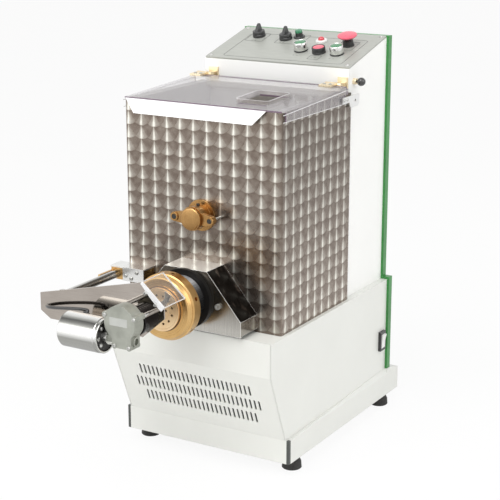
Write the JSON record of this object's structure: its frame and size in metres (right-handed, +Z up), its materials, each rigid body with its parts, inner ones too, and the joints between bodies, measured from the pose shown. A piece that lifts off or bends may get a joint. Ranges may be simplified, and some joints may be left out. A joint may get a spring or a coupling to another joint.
{
  "type": "electric pasta maker",
  "caption": "Table-top electric pasta maker: mixing tub with a clear hinged lid over an auger extruder, a swing-away motorised cutter and a column with a sloping control panel.",
  "frame": {"origin": "on the floor under the middle of the whole machine's box", "axes": "+Z up, -Y towards the die and the user, +X towards the side with the mains rocker and the lid's latch"},
  "size_m": [0.4172, 0.786, 0.8125],
  "materials": {
    "white_paint": "satin",
    "green_paint": "gloss",
    "grey_trim": "satin",
    "pearl_steel": "patterned",
    "plain_steel": "polished",
    "gear_steel": "machined",
    "bronze": "satin",
    "zinc": "cast",
    "motor_steel": "satin",
    "motor_grey": "satin",
    "plate_print": "satin",
    "black_plastic": "gloss",
    "white_plastic": "satin",
    "green_plastic": "gloss",
    "red_plastic": "gloss",
    "clear_sheet": "transparent",
    "rubber": "matte"
  },
  "bodies": {
    "machine": {"base_body": "white_paint", "front_panel": "white_paint", "foot_tray": "white_paint", "corner_posts": "grey_trim", "rubber_feet": "rubber", "column_shell": "white_paint", "control_plate": "plate_print", "rear_cover": "green_paint", "casing_screws": "zinc", "mains_gland": "black_plastic", "tub_casing": "pearl_steel", "tub_tank": "plain_steel", "mixer_bearing": "bronze", "shaft_bearings": "zinc", "extruder_bracket": "plain_steel", "socket_bolts": "zinc", "flange_ring": "black_plastic", "barrel": "plain_steel", "die": "bronze", "hinge_brackets": "bronze", "latch_bushing": "bronze", "drive_motor": "motor_grey", "arm_bracket": "plain_steel", "hinge_lug": "bronze", "selector_bezels": "black_plastic", "button_bezels": "zinc", "stop_base": "white_plastic", "pilot_lamps": "green_plastic", "rocker_frame": "black_plastic"},
    "lid": {"lid_sheet": "clear_sheet", "lid_flap": "white_plastic", "feed_rim": "clear_sheet", "lid_leaves": "bronze", "lid_tab": "motor_steel"},
    "drive": {"drive_pinion": "gear_steel"},
    "auger_train": {"auger": "plain_steel", "auger_gear": "gear_steel"},
    "mixer_train": {"mixing_shaft": "plain_steel", "mixer_knob": "bronze", "mixer_gear": "gear_steel"},
    "nut": {"ring_nut": "bronze"},
    "arm": {"pivot_tube": "plain_steel", "arm_plate": "plain_steel", "standoffs": "plain_steel", "knife_bearing": "motor_grey", "gearbox_body": "zinc", "gearbox_cover": "zinc", "arm_screws": "zinc", "cutter_motor": "motor_steel", "motor_lead": "rubber", "guard": "clear_sheet"},
    "cutter": {"knife": "motor_steel"},
    "latch": {"latch_plunger": "black_plastic"},
    "left_selector": {"selector_left": "black_plastic"},
    "right_selector": {"selector_right": "black_plastic"},
    "left_button": {"button_left": "green_plastic"},
    "middle_button": {"button_middle": "red_plastic"},
    "right_button": {"button_right": "green_plastic"},
    "stop": {"stop_head": "red_plastic"},
    "rocker": {"rocker_key": "white_plastic"}
  },
  "joints": [
    {"name": "lid_hinge", "type": "hinge", "parent": "machine", "child": "lid", "pos_m": [0.01844, 0.155, 0.7198], "axis": [-1, 0, 0], "range_deg": [0, 100]},
    {"name": "mixer_turn", "type": "hinge", "parent": "machine", "child": "mixer_train", "pos_m": [0.01844, -0.002, 0.497], "axis": [0, 1, 0], "continuous": true},
    {"name": "auger_turn", "type": "hinge", "parent": "machine", "child": "auger_train", "pos_m": [0.01844, -0.002, 0.35], "axis": [0, 1, 0], "continuous": true},
    {"name": "drive_turn", "type": "hinge", "parent": "machine", "child": "drive", "pos_m": [0.01844, 0.188, 0.26], "axis": [0, 1, 0], "continuous": true},
    {"name": "nut_turn", "type": "hinge", "parent": "machine", "child": "nut", "pos_m": [0.01844, -0.222, 0.35], "axis": [0, 1, 0], "range_deg": [0, 330]},
    {"name": "arm_swing", "type": "hinge", "parent": "machine", "child": "arm", "pos_m": [-0.15956, -0.12, 0.364], "axis": [0, -1, 0], "range_deg": [0, 100]},
    {"name": "knife_turn", "type": "hinge", "parent": "arm", "child": "cutter", "pos_m": [0.01844, -0.302, 0.35], "axis": [0, 1, 0], "continuous": true},
    {"name": "latch_pull", "type": "slide", "parent": "machine", "child": "latch", "axis": [1, 0, 0], "range_m": [0, 0.008], "stiffness_N_per_m": 150},
    {"name": "left_selector_turn", "type": "hinge", "parent": "machine", "child": "left_selector", "pos_m": [-0.08856, 0.29374, 0.78535], "axis": [0, -0.2588, 0.9659], "range_deg": [-45, 45]},
    {"name": "right_selector_turn", "type": "hinge", "parent": "machine", "child": "right_selector", "pos_m": [-0.02156, 0.28843, 0.78393], "axis": [0, -0.2588, 0.9659], "range_deg": [-45, 45]},
    {"name": "left_button_push", "type": "slide", "parent": "machine", "child": "left_button", "axis": [0, 0.2588, -0.9659], "range_m": [0, 0.004], "stiffness_N_per_m": 150},
    {"name": "middle_button_push", "type": "slide", "parent": "machine", "child": "middle_button", "axis": [0, 0.2588, -0.9659], "range_m": [0, 0.004], "stiffness_N_per_m": 150},
    {"name": "right_button_push", "type": "slide", "parent": "machine", "child": "right_button", "axis": [0, 0.2588, -0.9659], "range_m": [0, 0.004], "stiffness_N_per_m": 150},
    {"name": "stop_push", "type": "slide", "parent": "machine", "child": "stop", "axis": [0, 0.2588, -0.9659], "range_m": [0, 0.004], "stiffness_N_per_m": 300},
    {"name": "rocker_tip", "type": "hinge", "parent": "machine", "child": "rocker", "pos_m": [0.20244, 0.317, 0.155], "axis": [0, -1, 0], "range_deg": [0, 14]}
  ],
  "couplings": [
    {"joint": "auger_turn", "follows": "mixer_turn", "ratio": -1.3333},
    {"joint": "drive_turn", "follows": "mixer_turn", "ratio": 3.1111}
  ]
}
